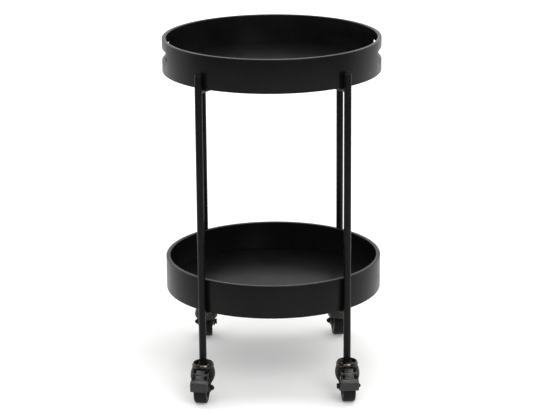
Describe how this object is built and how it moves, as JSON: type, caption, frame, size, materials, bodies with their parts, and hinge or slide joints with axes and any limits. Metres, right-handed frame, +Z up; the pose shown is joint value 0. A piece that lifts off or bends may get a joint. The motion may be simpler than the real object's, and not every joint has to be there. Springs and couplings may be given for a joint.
{
  "type": "bar cart",
  "caption": "Round bar cart with a lift-off upper tray with hand slots and a fixed lower tray in a tube frame on swivel casters, the front ones with foot brakes.",
  "frame": {"origin": "on the floor under the common axis of the two trays", "axes": "+Z up, -Y to the front where the braked casters are, hand slots towards -X and +X"},
  "size_m": [0.42, 0.4427, 0.673],
  "materials": {
    "tray_paint": "satin black paint over bent wood",
    "frame_paint": "satin black powder coat",
    "end_cap": "matte black",
    "zinc_steel": "zinc plated",
    "dark_steel": "black nickel plated, satin",
    "ball_steel": "polished",
    "tyre_rubber": "matte black",
    "hub_plastic": "matte black",
    "lever_plastic": "matte dark grey"
  },
  "bodies": {
    "frame": {"lower_tray_rim": "tray_paint", "lower_tray_base": "tray_paint", "leg_front_left": "frame_paint", "leg_front_right": "frame_paint", "leg_rear_left": "frame_paint", "leg_rear_right": "frame_paint", "leg_end_caps": "end_cap", "leg_stem_inserts": "zinc_steel", "upper_cross_long_bar": "frame_paint", "upper_cross_half_bars": "frame_paint", "lower_cross_long_bar": "frame_paint", "lower_cross_half_bars": "frame_paint", "lower_tray_tabs": "frame_paint", "lower_tray_screws": "dark_steel", "caster_front_left_stem": "dark_steel", "caster_front_right_stem": "dark_steel", "caster_rear_left_stem": "dark_steel", "caster_rear_right_stem": "dark_steel"},
    "top_tray": {"top_tray_rim": "tray_paint", "top_tray_base": "tray_paint"},
    "caster_front_left_swivel": {"caster_front_left_fork": "dark_steel", "caster_front_left_balls": "ball_steel", "caster_front_left_axle_bolt": "dark_steel", "caster_front_left_axle_nut": "dark_steel", "caster_front_left_axle_washers": "zinc_steel", "caster_front_left_brake_pin": "dark_steel"},
    "caster_front_left_rolling": {"caster_front_left_wheel_hub": "hub_plastic", "caster_front_left_tyre": "tyre_rubber"},
    "caster_front_left_brake": {"caster_front_left_brake_lever": "lever_plastic"},
    "caster_front_right_swivel": {"caster_front_right_fork": "dark_steel", "caster_front_right_balls": "ball_steel", "caster_front_right_axle_bolt": "dark_steel", "caster_front_right_axle_nut": "dark_steel", "caster_front_right_axle_washers": "zinc_steel", "caster_front_right_brake_pin": "dark_steel"},
    "caster_front_right_rolling": {"caster_front_right_wheel_hub": "hub_plastic", "caster_front_right_tyre": "tyre_rubber"},
    "caster_front_right_brake": {"caster_front_right_brake_lever": "lever_plastic"},
    "caster_rear_left_swivel": {"caster_rear_left_fork": "dark_steel", "caster_rear_left_balls": "ball_steel", "caster_rear_left_axle_bolt": "dark_steel", "caster_rear_left_axle_nut": "dark_steel", "caster_rear_left_axle_washers": "zinc_steel"},
    "caster_rear_left_rolling": {"caster_rear_left_wheel_hub": "hub_plastic", "caster_rear_left_tyre": "tyre_rubber"},
    "caster_rear_right_swivel": {"caster_rear_right_fork": "dark_steel", "caster_rear_right_balls": "ball_steel", "caster_rear_right_axle_bolt": "dark_steel", "caster_rear_right_axle_nut": "dark_steel", "caster_rear_right_axle_washers": "zinc_steel"},
    "caster_rear_right_rolling": {"caster_rear_right_wheel_hub": "hub_plastic", "caster_rear_right_tyre": "tyre_rubber"}
  },
  "joints": [
    {"name": "top_tray_lift", "type": "slide", "parent": "frame", "child": "top_tray", "axis": [0, 0, 1], "range_m": [0, 0.12]},
    {"name": "front_left_swivel", "type": "hinge", "parent": "frame", "child": "caster_front_left_swivel", "pos_m": [-0.1377, -0.16823, 0.066], "axis": [0, 0, 1], "continuous": true},
    {"name": "front_left_wheel_spin", "type": "hinge", "parent": "caster_front_left_swivel", "child": "caster_front_left_rolling", "pos_m": [-0.14034, -0.18705, 0.03], "axis": [0.9903, -0.1392, 0], "continuous": true},
    {"name": "front_left_brake_press", "type": "hinge", "parent": "caster_front_left_swivel", "child": "caster_front_left_brake", "pos_m": [-0.14256, -0.20285, 0.06002], "axis": [0.9903, -0.1392, 0], "range_deg": [0, 4.5]},
    {"name": "front_right_swivel", "type": "hinge", "parent": "frame", "child": "caster_front_right_swivel", "pos_m": [0.1377, -0.16823, 0.066], "axis": [0, 0, 1], "continuous": true},
    {"name": "front_right_wheel_spin", "type": "hinge", "parent": "caster_front_right_swivel", "child": "caster_front_right_rolling", "pos_m": [0.13902, -0.18719, 0.03], "axis": [0.9976, 0.0698, 0], "continuous": true},
    {"name": "front_right_brake_press", "type": "hinge", "parent": "caster_front_right_swivel", "child": "caster_front_right_brake", "pos_m": [0.14014, -0.20311, 0.06002], "axis": [0.9976, 0.0698, 0], "range_deg": [0, 4.5]},
    {"name": "rear_left_swivel", "type": "hinge", "parent": "frame", "child": "caster_rear_left_swivel", "pos_m": [-0.1377, 0.16823, 0.066], "axis": [0, 0, 1], "continuous": true},
    {"name": "rear_left_wheel_spin", "type": "hinge", "parent": "caster_rear_left_swivel", "child": "caster_rear_left_rolling", "pos_m": [-0.1377, 0.18723, 0.03], "axis": [-1, 0, 0], "continuous": true},
    {"name": "rear_right_swivel", "type": "hinge", "parent": "frame", "child": "caster_rear_right_swivel", "pos_m": [0.1377, 0.16823, 0.066], "axis": [0, 0, 1], "continuous": true},
    {"name": "rear_right_wheel_spin", "type": "hinge", "parent": "caster_rear_right_swivel", "child": "caster_rear_right_rolling", "pos_m": [0.13571, 0.18713, 0.03], "axis": [-0.9945, -0.1045, 0], "continuous": true}
  ]
}
